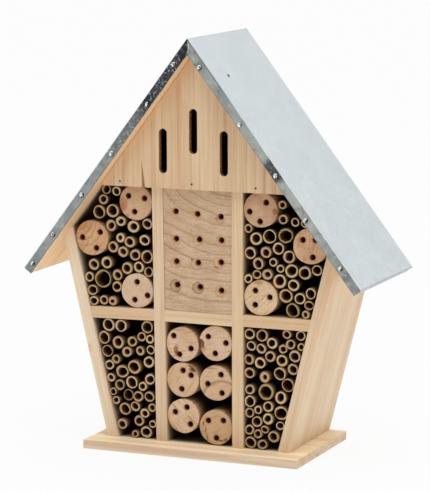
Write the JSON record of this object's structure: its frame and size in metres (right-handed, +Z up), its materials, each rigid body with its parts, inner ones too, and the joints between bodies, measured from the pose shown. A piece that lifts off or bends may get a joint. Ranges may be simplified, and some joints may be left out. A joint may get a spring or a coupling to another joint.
{
  "type": "insect hotel",
  "caption": "Tapered pine case with a steep metal-clad roof, compartments of hollow canes, drilled logs and a drilled block, and a slotted loft for butterflies.",
  "frame": {"origin": "on the ground, at the middle of the bounding box", "axes": "+X to the right seen from the front, -Y out of the front, +Z up"},
  "size_m": [0.375, 0.16, 0.4315],
  "materials": {
    "pine": "planed, untreated softwood",
    "gable_pine": "planed, untreated softwood with upright grain",
    "block_end_grain": "sawn end grain with growth rings",
    "log_wood": "peeled round log, sawn ends",
    "cane": "sawn hollow cane with a smooth skin",
    "zinc_sheet": "galvanised sheet with dull spangle",
    "nails": "bright domed heads",
    "dark_nails": "dull wire brads"
  },
  "bodies": {
    "root": {"base_board": "pine", "left_wall": "pine", "right_wall": "pine", "left_divider": "pine", "right_divider": "pine", "left_shelf": "pine", "middle_shelf": "pine", "right_shelf": "pine", "ceiling_board": "pine", "back_board": "pine", "gable_panel": "gable_pine", "left_roof_board": "pine", "right_roof_board": "pine", "roof_sheet": "zinc_sheet", "lip_nails": "nails", "sheet_nails": "nails", "gable_nails": "dark_nails", "base_nails": "nails", "back_nails": "dark_nails", "drilled_block": "block_end_grain", "upper_left_log_1": "log_wood", "upper_left_log_2": "log_wood", "upper_left_log_3": "log_wood", "upper_right_log_1": "log_wood", "upper_right_log_2": "log_wood", "upper_right_log_3": "log_wood", "lower_log_1": "log_wood", "lower_log_2": "log_wood", "lower_log_3": "log_wood", "lower_log_4": "log_wood", "lower_log_5": "log_wood", "lower_log_6": "log_wood", "upper_left_canes_1": "cane", "upper_left_canes_2": "cane", "upper_left_canes_3": "cane", "upper_left_canes_4": "cane", "upper_left_canes_5": "cane", "upper_left_canes_6": "cane", "upper_right_canes_1": "cane", "upper_right_canes_2": "cane", "upper_right_canes_3": "cane", "upper_right_canes_4": "cane", "upper_right_canes_5": "cane", "upper_right_canes_6": "cane", "lower_left_canes_1": "cane", "lower_left_canes_2": "cane", "lower_left_canes_3": "cane", "lower_left_canes_4": "cane", "lower_left_canes_5": "cane", "lower_left_canes_6": "cane", "lower_left_canes_7": "cane", "lower_right_canes_1": "cane", "lower_right_canes_2": "cane", "lower_right_canes_3": "cane", "lower_right_canes_4": "cane", "lower_right_canes_5": "cane", "lower_right_canes_6": "cane", "lower_right_canes_7": "cane", "upper_left_wide_cane": "cane", "lower_right_wide_cane": "cane"}
  },
  "joints": []
}
